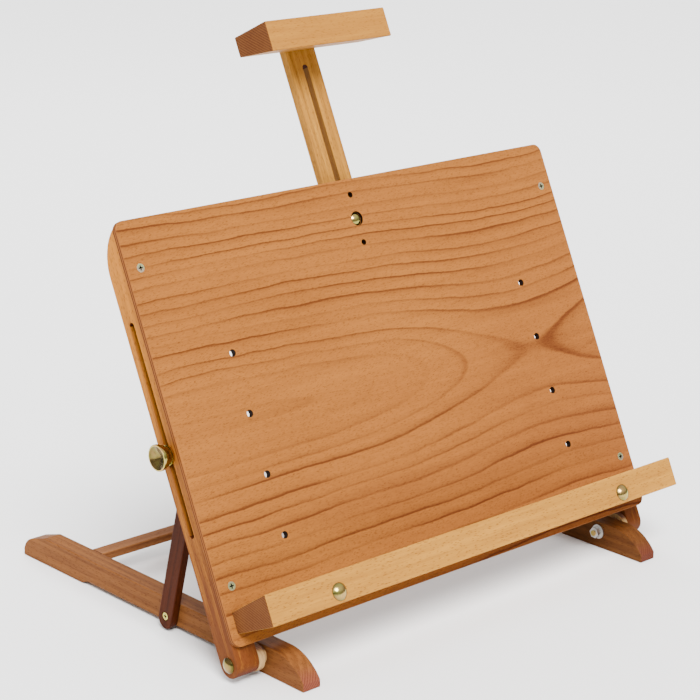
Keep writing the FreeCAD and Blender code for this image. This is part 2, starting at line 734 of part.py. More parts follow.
def make_ledge():
    body = stock_piece("ledge", "ledge_length", [
        line_to("ledge_low", "panel_front"),
        line_to("ledge_low + stock_back", "panel_front"),
        line_to("ledge_low + stock_front", "ledge_front"),
        line_to("ledge_low", "ledge_front")])
    cut(body, "XY", "panel_front", "ledge_depth",
        rounds=[("-row_half", "ledge_level", "hole_radius"), ("row_half", "ledge_level", "hole_radius")])
    finish(body, "row_shift", frame="BOARD")
    washers = []
    for side, sign in (("left", -1), ("right", 1)):
        x = f"row_shift + {sign} * row_half"
        reach = "ledge_depth + panel_thick + washer_thick + face_gap + stud_depth"
        mushroom_bolt("ledge_bolt_" + side, "Z", 1, reach, "mushroom_radius", "mushroom_height",
                      (x, "ledge_level", "ledge_front"), "BOARD")
        washers.append(ring("ledge_washer_" + side, "Z", -1, "0", "bolt_radius", "washer_radius",
                            "washer_thick", (x, "ledge_level", "panel_back"), "BOARD"))
        make_wing_nut("ledge_wing_nut_" + side, (x, "ledge_level", "panel_back - washer_thick - face_gap"))
    group("ledge_washers", washers)


def make_wing_nut(name, at):
    """A wing nut that opens along -z: a tapered hub and two flat wings."""
    reach, root = "wing_reach", "wing_hub - wing_root"
    body = new_body(name)
    turn(body, "Z", -1, [
        ("0", "0"), ("0", "wing_hub"), ("wing_root", "wing_hub"),
        ("stud_depth", "wing_hub - wing_taper"), ("stud_depth", "0")])
    wings = [
        line_to(f"-({root})", "-wing_root"), line_to(root, "-wing_root"),
        line_to(f"{reach} - wing_root", "-wing_height + wing_ear"),
        arc_to(f"{reach} - wing_tip", "-wing_height", "wing_round", 1),
        line_to(root, "-stud_depth + wing_root / 2"), line_to(f"-({root})", "-stud_depth + wing_root / 2"),
        line_to(f"-{reach} + wing_tip", "-wing_height"),
        arc_to(f"-{reach} + wing_root", "-wing_height + wing_ear", "wing_round", 1),
    ]
    pad(body, "XZ", "-wing_wall / 2", "wing_wall", wings)
    soften(body, "wing_edge", lambda edge, middle: abs(middle.x) > value("wing_hub"))
    cut(body, "XY", "-wing_height", "wing_height", rounds=[("0", "0", "bolt_bore")])
    return finish(body, *at, "BOARD")


# ---------------------------------------------------------------- mast

def make_mast():
    """The slotted mast, its head, and what clamps and guides it on the panel."""
    plate = new_body("mast_backing")
    pad(plate, "XY", "pad_back", "pad_thick", box_outline(
        "-pad_width / 2", "mast_bolt - pad_height / 2", "pad_width / 2", "mast_bolt + pad_height / 2"))
    soften(plate, "arris", lambda edge, middle: middle.z < value("panel_back - arris"))
    cut(plate, "XY", "pad_back", "pad_thick", rounds=[
        ("0", "mast_bolt", "bolt_radius"), ("0", "mast_bolt - pin_pitch", "pin_radius"),
        ("0", "mast_bolt + pin_pitch", "pin_radius")])
    finish(plate, "row_shift", frame="BOARD")

    mast = new_body("mast")
    pad(mast, "XY", "mast_back", "mast_thick", box_outline(
        "-mast_width / 2", "mast_foot", "mast_width / 2", "mast_top"))
    soften(mast)
    cut(mast, "XY", "mast_back", "mast_thick",
        slot_outline("0", "mast_slot_low", "mast_slot_high", "slot_width / 2"))
    screws = [(f"{sign} * head_screws_half", "head_screw_level") for sign in (-1, 1)]
    cut(mast, "XY", "mast_back", "mast_thick", rounds=[(x, y, "screw_radius") for x, y in screws])
    cut(mast, "XY", "mast_back", "screw_sink", rounds=[(x, y, "screw_head") for x, y in screws])
    finish(mast, "row_shift", frame="BOARD")

    head = stock_piece("mast_head", "head_length", [
        line_to("head_top - stock_back", "mast_front"),
        line_to("head_top", "mast_front"),
        line_to("head_top", "mast_front + head_depth"),
        line_to("head_bottom", "mast_front + head_depth")])
    depth = "head_screw_length - mast_thick"
    cut(head, "XY", "mast_front", depth, rounds=[(x, y, "screw_radius") for x, y in screws])
    finish(head, "row_shift", frame="BOARD")
    group("head_screws", [
        wood_screw(f"head_screw_{number}", "Z", -1, "head_screw_length",
                   (f"row_shift + {x}", y, "mast_back"), "BOARD")
        for number, (x, y) in enumerate(screws)])

    reach = "mast_seat - mast_back + clamp_stack + knob_bore"
    mushroom_bolt("mast_bolt", "Z", 1, reach, "mast_head_radius", "mast_head_height",
                  ("row_shift", "mast_bolt", "mast_seat"), "BOARD")
    washer = ring("mast_washer", "Z", -1, "face_gap", "bolt_radius", "knob_washer", "washer_thick",
                  ("row_shift", "mast_bolt", "mast_back"), "BOARD")
    parts[washer.Label] = washer
    make_knob("mast_knob", "Z", -1, ("row_shift", "mast_bolt", "mast_back - clamp_stack"), "BOARD")
    pins = []
    for side, sign in (("low", -1), ("high", 1)):
        pins.append(ring("guide_pin_" + side, "Z", -1, "0", "0", "pin_radius",
                         "panel_back - mast_back - thread_end",
                         ("row_shift", f"mast_bolt + {sign} * pin_pitch", "panel_back"), "BOARD"))
    group("guide_pins", pins)


# ---------------------------------------------------------------- assembly

def check_and_write():
    """Refuse a failed or faulty object, then write one file for each node."""
    doc.recompute()
    for thing in doc.Objects:
        if any(word in thing.State for word in ("Invalid", "Error")):
            raise RuntimeError(f"{thing.Name} failed: {thing.State}")
    os.makedirs("parts", exist_ok=True)
    for name, thing in parts.items():
        shape = thing.Shape
        if shape.isNull() or not shape.isValid():
            raise RuntimeError(f"{name} has no valid shape")
        shape.exportStep(os.path.join("parts", name + ".step"))
        print(f"{name}: {shape.Volume / 1000:.1f} cm3, {len(shape.Solids)} solid(s)")


fill_sheet()
make_runner("runner_left", -1)
make_runner("runner_right", 1)
make_crossbar()
joints = [make_pivot("left", -1), make_pivot("right", 1)]
group("pivot_washers", [washer for washer, nut in joints])
group("pivot_nuts", [nut for washer, nut in joints])
make_strut()
make_rail("rail_left", -1)
make_rail("rail_right", 1)
make_clamp()
make_panel()
make_ledge()
make_mast()
check_and_write()
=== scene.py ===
"""Table easel of oiled beech: the looks, built round the frame of the CAD model."""

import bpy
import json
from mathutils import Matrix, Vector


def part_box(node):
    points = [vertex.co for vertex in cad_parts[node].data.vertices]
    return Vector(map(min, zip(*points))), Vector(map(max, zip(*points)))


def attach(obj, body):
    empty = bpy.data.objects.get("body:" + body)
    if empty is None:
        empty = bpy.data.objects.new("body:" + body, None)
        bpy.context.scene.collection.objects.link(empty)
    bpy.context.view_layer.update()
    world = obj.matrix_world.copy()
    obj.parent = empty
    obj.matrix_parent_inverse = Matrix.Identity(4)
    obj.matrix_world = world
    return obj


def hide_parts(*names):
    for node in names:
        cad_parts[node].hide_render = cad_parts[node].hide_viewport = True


bl_info = {
    "name": "Beech Table Easel",
    "version": (1, 0, 0),
    "blender": (4, 5, 0),
    "location": "View3D > Sidebar > Easel",
    "description": "Gives a folding table easel its woods, brass fittings and studio",
    "category": "Object",
}

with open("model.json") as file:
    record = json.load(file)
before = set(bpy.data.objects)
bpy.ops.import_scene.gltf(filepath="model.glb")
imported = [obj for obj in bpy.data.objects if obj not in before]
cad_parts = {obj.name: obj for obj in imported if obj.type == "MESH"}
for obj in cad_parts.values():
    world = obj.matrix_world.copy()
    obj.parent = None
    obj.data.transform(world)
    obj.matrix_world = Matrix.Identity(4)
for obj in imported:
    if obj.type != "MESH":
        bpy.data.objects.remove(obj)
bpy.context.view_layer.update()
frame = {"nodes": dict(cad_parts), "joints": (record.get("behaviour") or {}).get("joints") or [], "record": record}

import json
import math
from collections import namedtuple

import bmesh
import bpy
from bpy.props import FloatProperty, FloatVectorProperty, PointerProperty
from mathutils import Matrix, Vector

JOINTS = {joint["name"]: joint for joint in frame["joints"]}
MOUNTS = {mount["name"]: mount for mount in frame["record"]["mounts"]}
PIVOT = Vector(JOINTS["board_tilt"]["pos_m"])
STRUT_FOOT = Vector(JOINTS["strut_swing"]["pos_m"])
UP_PANEL = Vector(JOINTS["clamp_slide"]["axis"])
OFF_PANEL = Vector(MOUNTS["panel_face"]["axis"])
ACROSS = Vector((1, 0, 0))
CLAMP = Vector(JOINTS["clamp_knob_turn"]["pos_m"])
MAST_KNOB = Vector(JOINTS["mast_knob_turn"]["pos_m"])

# places on the easel, in metres
HALF_SLOT = 0.0035
MAST_LEVEL = -0.00235
MAST_HALF = 0.00485
PANEL_FRONT = 0.0185
SCREW_SIDE = 0.2625
SCREW_LEVELS = (0.0675, 0.3625)
NUT_TO_LEDGE = 0.0618
KNOB_TO_BOLT = 0.0199
FADE_LEVEL = 0.27
FLOOR_DROP = 0.0003

# shifts that give each board its own part of the pattern, across and in depth
WIDE_SHIFT = 0.37
DEEP_SHIFT = 0.21

# turned pieces, in millimetres: heads are (radius, height)
SHANK = 3.0
PIVOT_HEAD = (7.4, 3.6)
LEDGE_HEAD = (8.25, 4.6)
MAST_HEAD = (6.5, 3.4)
LEDGE_REACH = 69.3
MAST_REACH = 24.9
TURNS = 72
# the knob's third column darkens the brass: a little stain on the rim, and painted shade in the dish and at the
# back where it meets the rail
KNOB = [(0, 3.08, 0), (0, 8.5, 0.5), (8.8, 12.4, 0.2), (10.8, 12.4, 0.25), (11.25, 12.25, 0.2),
        (11.52, 11.95, 0.1), (11.6, 11.6, 0.1), (11.6, 11.0, 0.2), (11.4, 10.7, 0.75), (9.0, 6.2, 0.6),
        (6.6, 1.7, 0.7), (6.3, 1.0, 0.9), (6.25, 0, 0.9), (5.3, 0, 0), (5.3, 3.08, 0), (0, 3.08, 0)]

# a slot through a board: whether it is narrow in depth, where that way and half how wide,
# and the middle and half the reach of the board the other way
Slot = namedtuple("Slot", "in_depth middle half_width level half_reach")


# ------------------------------------------------------------ shader maths

class Wire:
    """A number coming out of a shader node; arithmetic on it adds Math nodes."""

    def __init__(self, graph, socket):
        self.graph = graph
        self.socket = socket

    def math(self, operation, *others, clamp=False):
        return self.graph.add("ShaderNodeMath", {"operation": operation, "use_clamp": clamp},
                              [self, *others])

    def __add__(self, other):
        return self.math("ADD", other)

    def __mul__(self, other):
        return self.math("MULTIPLY", other)

    def __sub__(self, other):
        return self.math("SUBTRACT", other)

    def __rsub__(self, other):
        return self.graph.add("ShaderNodeMath", {"operation": "SUBTRACT"}, [other, self])

    def __truediv__(self, other):
        return self.math("DIVIDE", other)

    __radd__ = __add__
    __rmul__ = __mul__

    def root(self):
        return self.math("SQRT")

    def size(self):
        return self.math("ABSOLUTE")

    def fraction(self):
        return self.math("FRACT")

    def limited(self):
        return self.math("ADD", 0.0, clamp=True)

    def step(self, low, high):
        """0 below low, 1 above high and smooth between them."""
        return self.graph.add("ShaderNodeMapRange", {"interpolation_type": "SMOOTHSTEP"},
                              {"Value": self, "From Min": low, "From Max": high})


class Graph:
    """The node tree of one material."""

    def __init__(self, name):
        self.material = bpy.data.materials.new(name)
        self.material.use_nodes = True
        self.tree = self.material.node_tree
        self.tree.nodes.clear()
        self.columns = 0

    def add(self, kind, settings=None, inputs=None, output=0):
        """Add a node: first its settings, then the values or links of its sockets."""
        node = self.tree.nodes.new(kind)
        node.location = (180 * (self.columns % 12), -220 * (self.columns // 12))
        self.columns += 1
        for key, setting in (settings or {}).items():
            setattr(node, key, setting)
        inputs = inputs or {}
        pairs = inputs.items() if isinstance(inputs, dict) else enumerate(inputs)
        for key, given in pairs:
            if isinstance(given, Wire):
                self.tree.links.new(given.socket, node.inputs[key])
            else:
                node.inputs[key].default_value = given
        return Wire(self, node.outputs[output])

    def mix(self, factor, first, second, blend="MIX"):
        """Mix two colours, whose sockets share names and so go by number."""
        return self.add("ShaderNodeMix", {"data_type": "RGBA", "blend_type": blend},
                        {0: factor, 6: first, 7: second}, 2)

    def coordinates(self, output):
        return self.add("ShaderNodeTexCoord", output=output)

    def dot(self, place, direction):
        return self.add("ShaderNodeVectorMath", {"operation": "DOT_PRODUCT"},
                        [place, tuple(direction)], "Value")

    def noise(self, place, scale, detail=3.0, rough=0.5):
        return self.add("ShaderNodeTexNoise", None, {
            "Vector": place, "Scale": scale, "Detail": detail, "Roughness": rough})

    def join(self, x, y, z):
        return self.add("ShaderNodeCombineXYZ", None, [x, y, z])

    def shader(self, values, height=None, strength=0.1, distance=0.0005):
        """Close the tree with a Principled shader and an optional bump."""
        values = dict(values)
        if height is not None:
            values["Normal"] = self.add("ShaderNodeBump", None, {
                "Height": height, "Strength": strength, "Distance": distance})
        surface = self.add("ShaderNodeBsdfPrincipled", None, values)
        closing = self.tree.nodes.new("ShaderNodeOutputMaterial")
        self.tree.links.new(surface.socket, closing.inputs["Surface"])
        return self.material


# ------------------------------------------------------------ woods

def shaded(colour, red, green, blue):
    """A colour with each channel multiplied."""
    return (colour[0] * red, colour[1] * green, colour[2] * blue, 1.0)


def grain_place(graph, along, origin, seed):
    """Coordinates of a board: x along its grain, y and z across it, in metres."""
    here = graph.add("ShaderNodeVectorMath", {"operation": "SUBTRACT"},
                     [graph.coordinates("Object"), tuple(origin)])
    side = ACROSS if abs(along.x) < 0.5 else UP_PANEL
    third = along.cross(side).normalized()
    run, wide, deep = (graph.dot(here, way) for way in (along, side, third))
    return run, wide + seed * WIDE_SHIFT, deep + seed * DEEP_SHIFT


def end_mask(graph, along):
    """1 where the surface is cut across the grain."""
    return graph.dot(graph.coordinates("Normal"), along).size().step(0.55, 0.85)


def flecks(graph, run, wide, deep, long, thin, amount):
    """Short dark dashes along the grain, as beech has on a flat-sawn face."""
    spots = graph.add("ShaderNodeTexVoronoi", {"feature": "F1", "distance": "EUCLIDEAN"}, {
        "Vector": graph.join(run / long, wide / thin, deep / thin), "Scale": 1.0,
        "Randomness": 1.0})
    return 1.0 - spots.step(amount * 0.55, amount)


def slot_walls(flat, level, slot):
    """1 on the walls of a slot: inside its width, and below the board's own faces."""
    edge = slot.half_width
    within = 1.0 - (flat - slot.middle).size().step(edge - 0.0001, edge + 0.0001)
    face = slot.half_reach
    return within * (1.0 - (level - slot.level).size().step(face - 0.0005, face - 0.0002))


def beech(name, along, origin, pale, dark, seed, rings=0.006, fleck=0.5, band_depth=0.3, fade=0.0,
          end=0.62, slot=None):
    """Solid beech: soft growth bands, fine pores, ray flecks and darker end grain.

    Fade makes the wood paler along its grain, by so much for each metre; end lightens
    the end grain; the walls of a slot are darkened as painted shade.
    """
    graph = Graph(name)
    run, wide, deep = grain_place(graph, along, origin, seed)
    drift = graph.noise(graph.join(run * 3.0, wide * 14.0, deep * 14.0), 1.0, 2.0) - 0.5
    bands = ((wide * 0.8 + deep * 0.6 + drift * 0.010) / rings).fraction()
    band = bands.step(0.2, 0.92) * (1.0 - bands.step(0.92, 1.0))
    fibre = graph.noise(graph.join(run * 55.0, wide * 1400.0, deep * 1400.0), 1.0, 3.0, 0.6)
    streak = graph.noise(graph.join(run * 9.0, wide * 260.0, deep * 260.0), 1.0, 2.0)
    cloud = graph.noise(graph.join(run * 5.0, wide * 30.0, deep * 30.0), 1.0, 2.0)
    dashes = flecks(graph, run, wide, deep, 0.0070, 0.0012, 0.30)
    tone = band * band_depth + (fibre - 0.5) * 0.80 + (streak - 0.5) * 0.95 + (cloud - 0.5) * 0.42
    tone = tone + 0.25 - (run - FADE_LEVEL) * fade
    colour = graph.mix(tone.limited(), pale, dark)
    fleck_colour = shaded(dark, 0.66, 0.55, 0.5)
    colour = graph.mix((dashes * fleck).limited(), colour, fleck_colour)
    ends = end_mask(graph, along)
    rays = graph.noise(graph.join(wide * 900.0, deep * 900.0, run * 20.0), 1.0, 2.0)
    growth = ((wide * 0.72 + deep * 0.60 + drift * 0.006) / 0.0023).fraction()
    growth = 1.0 - growth.step(0.05, 0.35) * (1.0 - growth.step(0.65, 0.95))
    end_tone = (growth * 0.55 + (rays - 0.5) * 0.8 + (cloud - 0.5) * 0.6 + 0.25).limited()
    end_colour = graph.mix(end_tone, shaded(dark, end * 1.15, end * 1.15, end * 1.9),
                           shaded(dark, end * 0.5, end * 0.36, end * 0.8))
    colour = graph.mix(ends, colour, end_colour)
    if slot:
        ways = (deep - seed * DEEP_SHIFT, wide - seed * WIDE_SHIFT)
        flat, level = ways if slot.in_depth else reversed(ways)
        # painted shade: the walls of a slot are darkened
        colour = graph.mix(slot_walls(flat, level, slot), colour, shaded(dark, 0.42, 0.32, 0.4))
    height = fibre * 0.5 - dashes * 0.6 - band * 0.1
    rough = 0.46 + (fibre - 0.5) * 0.12 + dashes * 0.12 + ends * 0.15
    return graph.shader({"Base Color": colour, "Roughness": rough, "IOR": 1.45,
                         "Specular IOR Level": 0.05}, height, 0.3, 0.0002)


def ring_lines(graph, off_x, off_v, seed):
    """Growth lines of the panel, counted outwards from the tongue in its middle.

    The tongue opens to the left and closes towards a saddle near the right edge.
    """
    slow = graph.noise(graph.join(off_x * 3.4, off_v * 9.0, seed), 1.0, 2.0) - 0.5
    quick = graph.noise(graph.join(off_x * 30.0, off_v * 40.0, seed + 3.0), 1.0, 2.0) - 0.5
    bent = off_v + slow * 0.018 + quick * 0.0036
    saddle = (off_x - 0.185) / 0.150
    pinch = (saddle * saddle * -1.0).math("EXPONENT") * 0.0034
    far = (bent * bent + pinch + 0.0001).root() + bent * 0.10
    spread = graph.noise(graph.join(far * 30.0, 0.0, seed + 7.0), 1.0, 1.0) - 0.5
    count = (far + spread * 0.017) / 0.0122
    return count.fraction(), count.math("FLOOR"), far


def panel_veneer(name, pale, dark, wine, middle):
    """Rotary-cut beech face: long tongues round the middle, close lines above and below."""
    graph = Graph(name)
    run, wide, deep = grain_place(graph, ACROSS, middle, 0)
    rings, number, far = ring_lines(graph, run, wide, 1.0)
    late = rings.step(0.30, 0.92) * (1.0 - rings.step(0.92, 0.99))
    line = rings.step(0.74, 0.90) * (1.0 - rings.step(0.92, 1.0))
    each = graph.noise(graph.join(number * 7.7, run * 4.0, wide * 3.0), 1.0, 1.0).step(0.34, 0.66)
    calm = far.step(0.024, 0.058) * 0.8 + 0.2
    fibre = graph.noise(graph.join(run * 60.0, wide * 1100.0, deep * 900.0), 1.0, 3.0, 0.6)
    slant = wide - run * 0.16
    grit = graph.noise(graph.join(run * 330.0, slant * 1300.0, deep * 900.0), 1.0, 2.0, 0.6)
    cloud = graph.noise(graph.join(run * 4.0, wide * 12.0, 2.0), 1.0, 3.0)
    streak = graph.noise(graph.join(run * 5.0, wide * 130.0, 6.0), 1.0, 2.0)
    dashes = flecks(graph, run, slant, deep, 0.0052, 0.0010, 0.32)
    marks = graph.noise(graph.join(run * 13.0, slant * 105.0, 3.3), 1.0, 1.0).step(0.74, 0.86)
    tone = (late * 0.30 + line * 0.55) * (each * 0.75 + 0.25) * calm
    tone = tone + (fibre - 0.5) * 0.46 + (grit - 0.5) * 0.62 + (cloud - 0.5) * 0.40
    tone = tone + (streak - 0.5) * 0.42 + marks * 0.40 + 0.16
    colour = graph.mix(tone.limited(), pale, dark)
    redder = (run * 0.75 - wide * 1.0 + (cloud - 0.5) * 0.40).step(-0.10, 0.42)
    colour = graph.mix((redder * 0.75).limited(), colour, wine, "MULTIPLY")
    colour = graph.mix((dashes * 0.55).limited(), colour, shaded(dark, 0.66, 0.58, 0.55))
    front = graph.dot(graph.coordinates("Normal"), OFF_PANEL).size().step(0.5, 0.8)
    apart = deep.size()
    # the panel's edge shows its plies as light and dark bands
    plies_and_seam_shade = apart.step(0.0005, 0.0009) * (1.0 - apart.step(0.0016, 0.0020))
    # painted shade: a dark band at the back of the edge, for the shadow of the seam against the rail
    plies_and_seam_shade = (plies_and_seam_shade + (deep * -1.0).step(0.0022, 0.0026)).limited()
    core = graph.mix(plies_and_seam_shade, shaded(pale, 0.8, 0.75, 0.8), shaded(dark, 0.8, 0.7, 0.8))
    # painted shade: the walls of the panel's holes, within its outer edges, go near black
    inside = (1.0 - run.size().step(0.262, 0.266)) * (1.0 - wide.size().step(0.185, 0.189))
    core = graph.mix(inside, core, (0.010, 0.004, 0.002, 1.0))
    colour = graph.mix(front, core, colour)
    height = fibre * 0.4 + grit * 0.3 - dashes * 0.4 - line * 0.2
    rough = 0.48 + (grit - 0.5) * 0.14 + late * 0.05
    return graph.shader({"Base Color": colour, "Roughness": rough, "IOR": 1.45,
                         "Specular IOR Level": 0.05}, height, 0.28, 0.0002)


def yellow_brass(name, colour, gloss, stain=0.35):
    """Bright passivated brass: a faint green and rose play, grime, fine turning lines and painted shade."""
    graph = Graph(name)
    here = graph.coordinates("Object")
    play = graph.noise(here, 120.0, 2.0)
    wear = graph.noise(here, 700.0, 3.0)
    grime = graph.noise(here, 260.0, 2.0).step(0.50, 0.72)
    tint = graph.mix(play.step(0.35, 0.65), shaded(colour, 0.82, 1.0, 0.66),
                     shaded(colour, 1.0, 0.84, 0.80))
    tint = graph.mix((wear.step(0.45, 0.75) * 0.35).limited(), tint, colour)
    tint = graph.mix(grime * stain, tint, shaded(colour, 0.30, 0.24, 0.20))
    # near black where the turned pieces and screws mark stain and painted shade
    stain_and_shade_amount = graph.add("ShaderNodeAttribute", {"attribute_name": "recess"}, output="Fac")
    tint = graph.mix(stain_and_shade_amount, tint, shaded(colour, 0.05, 0.04, 0.04))
    rough = gloss + (wear - 0.5) * 0.12 + grime * 0.08
    return graph.shader({"Base Color": tint, "Roughness": rough, "Metallic": 1.0}, wear, 0.06, 0.0001)


def zinc_steel(name, colour):
    graph = Graph(name)
    here = graph.coordinates("Object")
    grain = graph.noise(here, 900.0, 3.0)
    tint = graph.mix(grain, colour, tuple(c * 0.72 for c in colour[:3]) + (1.0,))
    return graph.shader({"Base Color": tint, "Roughness": 0.22 + grain * 0.16, "Metallic": 1.0},
                        grain, 0.08, 0.0001)


# ------------------------------------------------------------ settings

def colour_property(name, text, value):
    return FloatVectorProperty(name=name, description=text, default=value, size=4, min=0.0,
                               max=1.0, subtype="COLOR")


class EaselWoods(bpy.types.PropertyGroup):
    panel_pale: colour_property(
        "Panel, pale", "Pale early wood of the panel", (0.2760, 0.1000, 0.0195, 1))
    panel_dark: colour_property(
        "Panel, dark", "Dark late wood of the panel", (0.0950, 0.0255, 0.0062, 1))
    panel_wine: colour_property(
        "Panel, wine", "Redder tone of the panel's lower right", (0.8000, 0.7000, 0.8600, 1))
    rail_pale: colour_property(
        "Rail, pale", "Pale wood of the rails", (0.4400, 0.1600, 0.0175, 1))
    rail_dark: colour_property(
        "Rail, dark", "Dark wood of the rails", (0.1120, 0.0320, 0.0080, 1))
    runner_pale: colour_property(
        "Runner, pale", "Pale wood of the base", (0.1900, 0.0740, 0.0205, 1))
    runner_dark: colour_property(
        "Runner, dark", "Dark wood of the base", (0.0660, 0.0205, 0.0068, 1))
    ledge_pale: colour_property(
        "Ledge, pale", "Pale wood of the ledge", (0.4100, 0.1880, 0.0275, 1))
    ledge_dark: colour_property(
        "Ledge, dark", "Dark wood of the ledge", (0.2050, 0.0760, 0.0130, 1))
    # The strut's colours are far darker than the other beech: dark wood together with painted shade, for the shade
    # the strut stands in.
    strut_pale: colour_property(
        "Strut, pale", "Pale wood of the strut", (0.0620, 0.0130, 0.0032, 1))
    strut_dark: colour_property(
        "Strut, dark", "Dark wood of the strut", (0.0220, 0.0046, 0.0016, 1))
    spacer_pale: colour_property(
        "Spacer, pale", "Pale wood of the spacers", (0.5000, 0.3200, 0.1400, 1))


class EaselFittings(bpy.types.PropertyGroup):
    brass: colour_property(
        "Brass", "Colour of the brass fittings", (0.5600, 0.4200, 0.1500, 1))
    bright: colour_property(
        "Bright brass", "Colour of the screws", (0.86, 0.80, 0.60, 1))
    brass_gloss: FloatProperty(name="Brass roughness", description="Roughness of the brass",
                               default=0.2, min=0.0, max=1.0)
    zinc: colour_property(
        "Zinc", "Colour of the plated nuts", (0.72, 0.72, 0.70, 1))


class EaselStage(bpy.types.PropertyGroup):
    azimuth: FloatProperty(name="Azimuth", description="Camera's turn round the easel",
                           default=math.radians(-42.53), subtype="ANGLE")
    elevation: FloatProperty(name="Elevation", description="Camera's height angle",
                             default=math.radians(16.69), subtype="ANGLE")
    roll: FloatProperty(name="Roll", description="Camera's roll",
                        default=math.radians(0.47), subtype="ANGLE")
    distance: FloatProperty(name="Distance", description="Camera to its target",
                            default=2.168, unit="LENGTH")
    aim: FloatVectorProperty(name="Aim", description="Point that the camera looks at",
                             default=(0.01064, -0.00865, 0.2217), subtype="XYZ")
    lens: FloatProperty(name="Lens", description="Focal length in millimetres", default=112.05)
    light: FloatProperty(name="Light", description="Strength of the key light", default=8.3)
    softness: FloatProperty(name="Softness", description="Width of the key light",
                            default=math.radians(28), subtype="ANGLE")
    shine: FloatVectorProperty(name="Shine", description="Direction the key light travels",
                               default=(0.36, 0.66, -0.90), subtype="XYZ")
    world: FloatProperty(name="Room light", description="Strength of the light from above",
                         default=1.35)
    horizon: FloatProperty(name="Horizon light", description="Strength of the light all round",
                           default=0.3)


# ------------------------------------------------------------ operators

def dress(material, *nodes):
    """Put a material on CAD nodes."""
    for name in nodes:
        node = frame["nodes"][name]
        for slot in node.material_slots:
            slot.material = material
        if not node.material_slots:
            node.data.materials.append(material)


class EASEL_OT_woods(bpy.types.Operator):
    """Give every wooden piece its beech"""
    bl_idname = "easel.woods"
    bl_label = "Woods"

    @staticmethod
    def middle(name):
        """A node's middle across, from the pivot, and half its width."""
        low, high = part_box(name)
        return (low[0] + high[0]) / 2 - PIVOT.x, (high[0] - low[0]) / 2

    def execute(self, context):
        own = context.scene.easel_woods
        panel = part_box("panel")
        middle = (Vector(panel[0]) + Vector(panel[1])) / 2
        dress(panel_veneer("panel_wood", own.panel_pale[:], own.panel_dark[:], own.panel_wine[:],
                           middle), "panel")
        dress(beech("ledge_wood", ACROSS, PIVOT, own.ledge_pale[:], own.ledge_dark[:], 1,
                    rings=0.011, fleck=0.75, band_depth=0.12), "ledge")
        dress(beech("head_wood", ACROSS, PIVOT, shaded(own.ledge_pale, 0.88, 0.82, 0.85),
                    own.ledge_dark[:], 2, rings=0.009, band_depth=0.15), "mast_head")
        mast_slot = Slot(False, MAST_KNOB.x - PIVOT.x, HALF_SLOT, MAST_LEVEL, MAST_HALF)
        dress(beech("mast_wood", UP_PANEL, PIVOT, own.ledge_pale[:], own.rail_dark[:], 3,
                    rings=0.008, band_depth=0.16, slot=mast_slot), "mast", "mast_backing")
        for seed, name in enumerate(("rail_left", "rail_right"), 4):
            rail_slot = Slot(True, 0.0, HALF_SLOT, *self.middle(name))
            dress(beech("rail_wood_" + name[5:], UP_PANEL, PIVOT, own.rail_pale[:],
                        own.rail_dark[:], seed, fleck=0.75, band_depth=0.2, fade=3.0, end=1.0,
                        slot=rail_slot), name)
        # painted shadow: the right runner's wood is dimmed to 0.6 of the left's, for the shade it lies in under
        # the board
        for name, seed, light in (("left", 6, 1.0), ("right", 7, 0.6)):
            tones = [shaded(colour, light, light * 0.95, light * 0.9)
                     for colour in (own.runner_pale, own.runner_dark)]
            # end=2.6 lifts the runners' end grain: the grain's own tone, with painted light on their front-facing
            # noses
            dress(beech("runner_wood_" + name, Vector((0, 1, 0)), PIVOT, *tones, seed,
                        rings=0.007, fleck=0.6, band_depth=0.25, end=2.6), "runner_" + name)
        dress(beech("crossbar_wood", ACROSS, PIVOT, shaded(own.runner_pale, 1.4, 1.45, 1.8),
                    shaded(own.runner_dark, 1.5, 1.6, 1.8), 8), "rear_crossbar")
        along = Vector((0, CLAMP.y - STRUT_FOOT.y, CLAMP.z - STRUT_FOOT.z)).normalized()
        # the strut's dark colours carry painted shade as well as the wood's tone
        dress(beech("strut_wood", along, STRUT_FOOT, own.strut_pale[:], own.strut_dark[:], 9,
                    rings=0.005, fleck=0.35), "strut")
        dress(beech("spacer_wood", Vector((0, 0, 1)), PIVOT, own.spacer_pale[:],
                    shaded(own.ledge_dark, 1.3, 1.9, 4.0), 10, rings=0.004, fleck=0.3),
              "pivot_spacer_left", "pivot_spacer_right", "crossbar_dowels")
        return {"FINISHED"}


